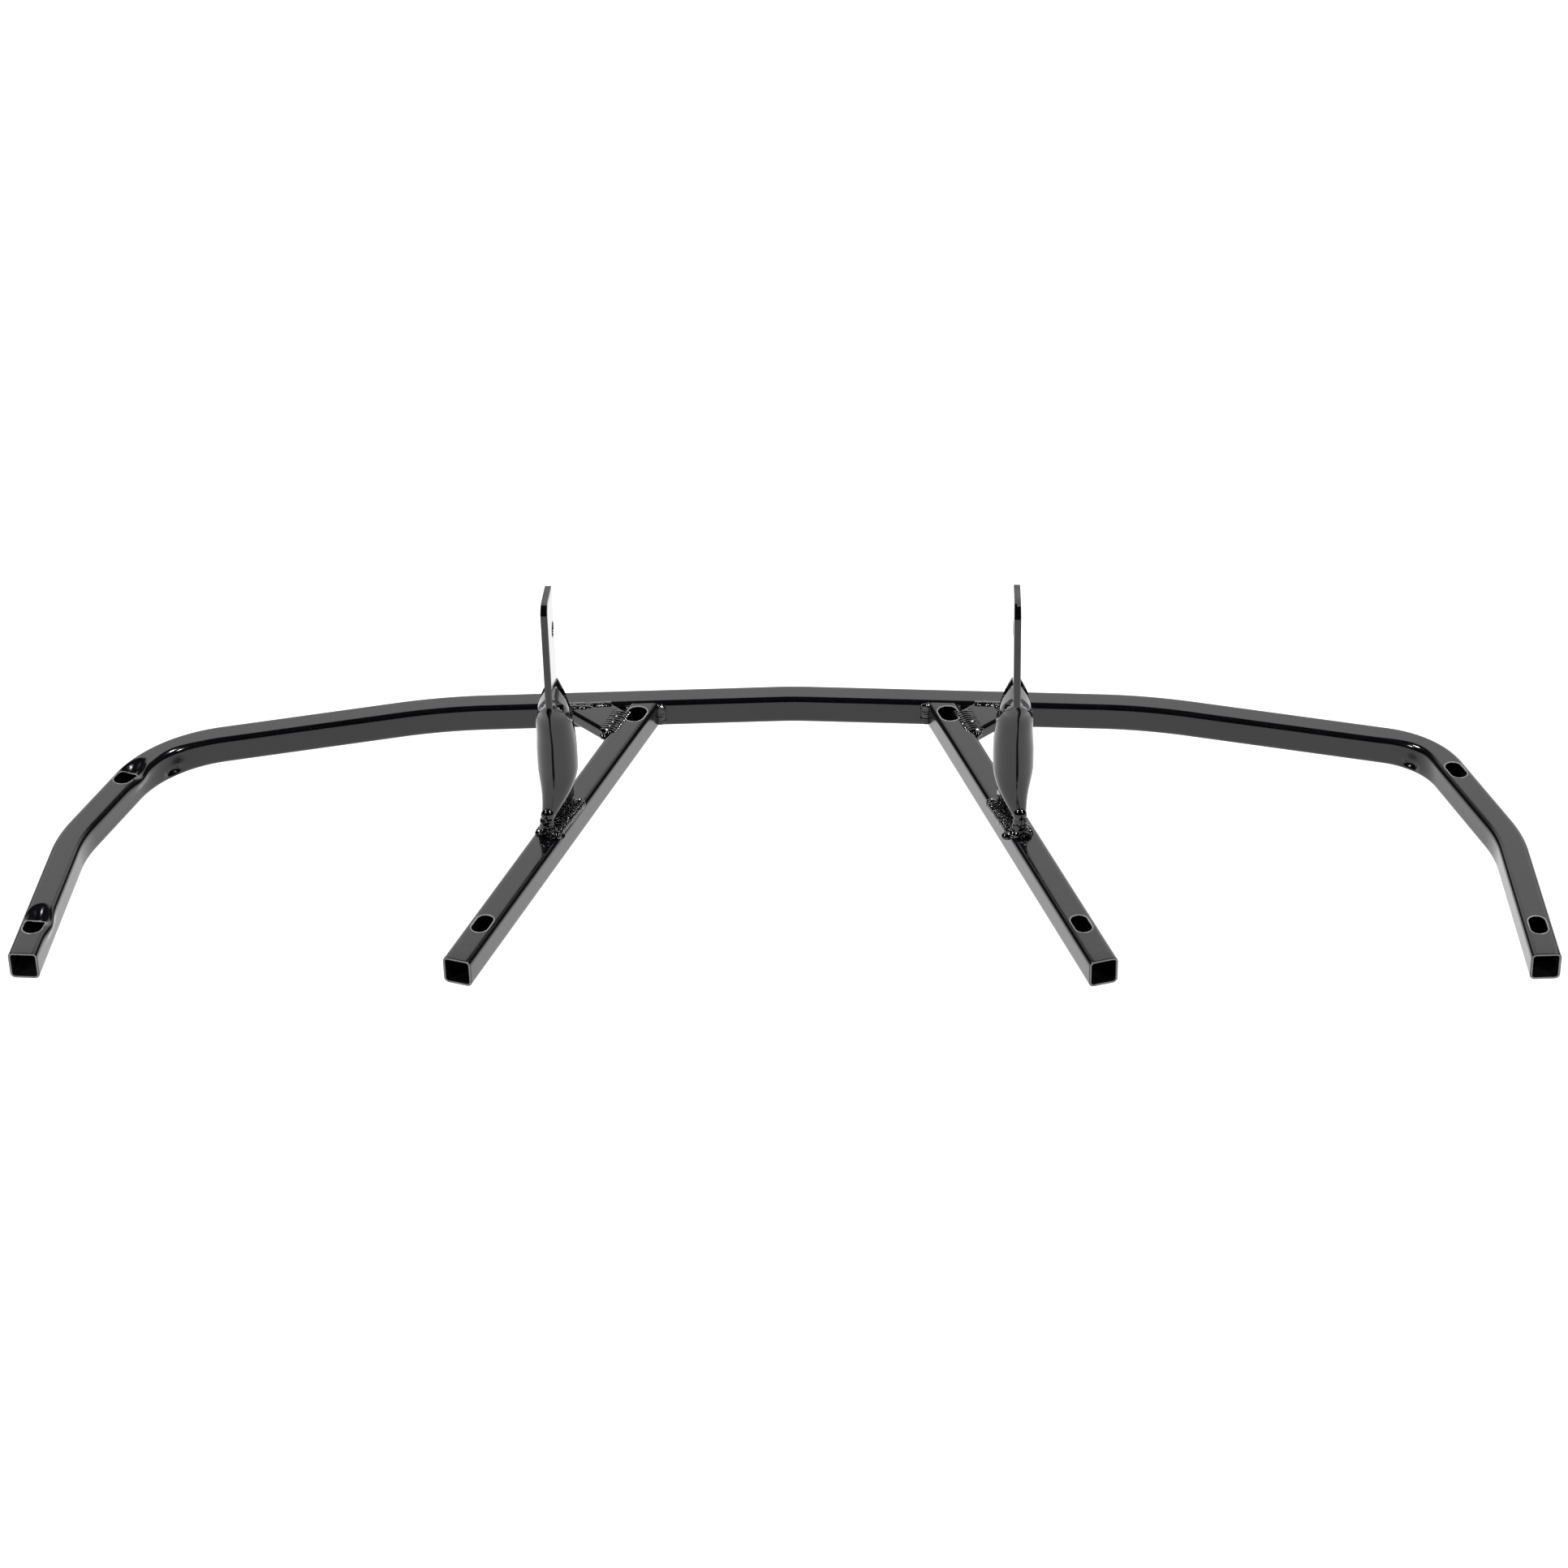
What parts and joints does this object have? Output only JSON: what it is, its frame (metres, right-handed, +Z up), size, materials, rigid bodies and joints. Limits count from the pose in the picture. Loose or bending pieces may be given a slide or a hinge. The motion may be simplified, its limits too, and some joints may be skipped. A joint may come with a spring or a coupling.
{
  "type": "welded tube support frame",
  "caption": "Welded square-tube bow frame with two splayed legs, corner braces and two drilled flat-topped uprights.",
  "frame": {"origin": "middle of the bow's crown, on the plane that the square tubes rest on", "axes": "+X to the object's right along the bow, +Y from the open ends towards the crown, +Z up along the uprights"},
  "size_m": [1.2874, 0.4362, 0.256],
  "materials": {
    "square_tube": "gloss black powder coat on square steel tube",
    "brace_tube": "gloss black powder coat on flat rectangular steel tube",
    "round_tube": "gloss black powder coat, drawn out smooth on the pressed round tube",
    "weld_bead": "gloss black powder coat over rippled weld beads"
  },
  "bodies": {
    "root": {"bow_tube": "square_tube", "left_leg": "square_tube", "right_leg": "square_tube", "left_brace": "brace_tube", "right_brace": "brace_tube", "left_upright": "round_tube", "right_upright": "round_tube", "left_leg_weld": "weld_bead", "right_leg_weld": "weld_bead", "left_brace_bow_weld": "weld_bead", "right_brace_bow_weld": "weld_bead", "left_brace_leg_weld": "weld_bead", "right_brace_leg_weld": "weld_bead", "left_upright_weld": "weld_bead", "right_upright_weld": "weld_bead"}
  },
  "joints": []
}
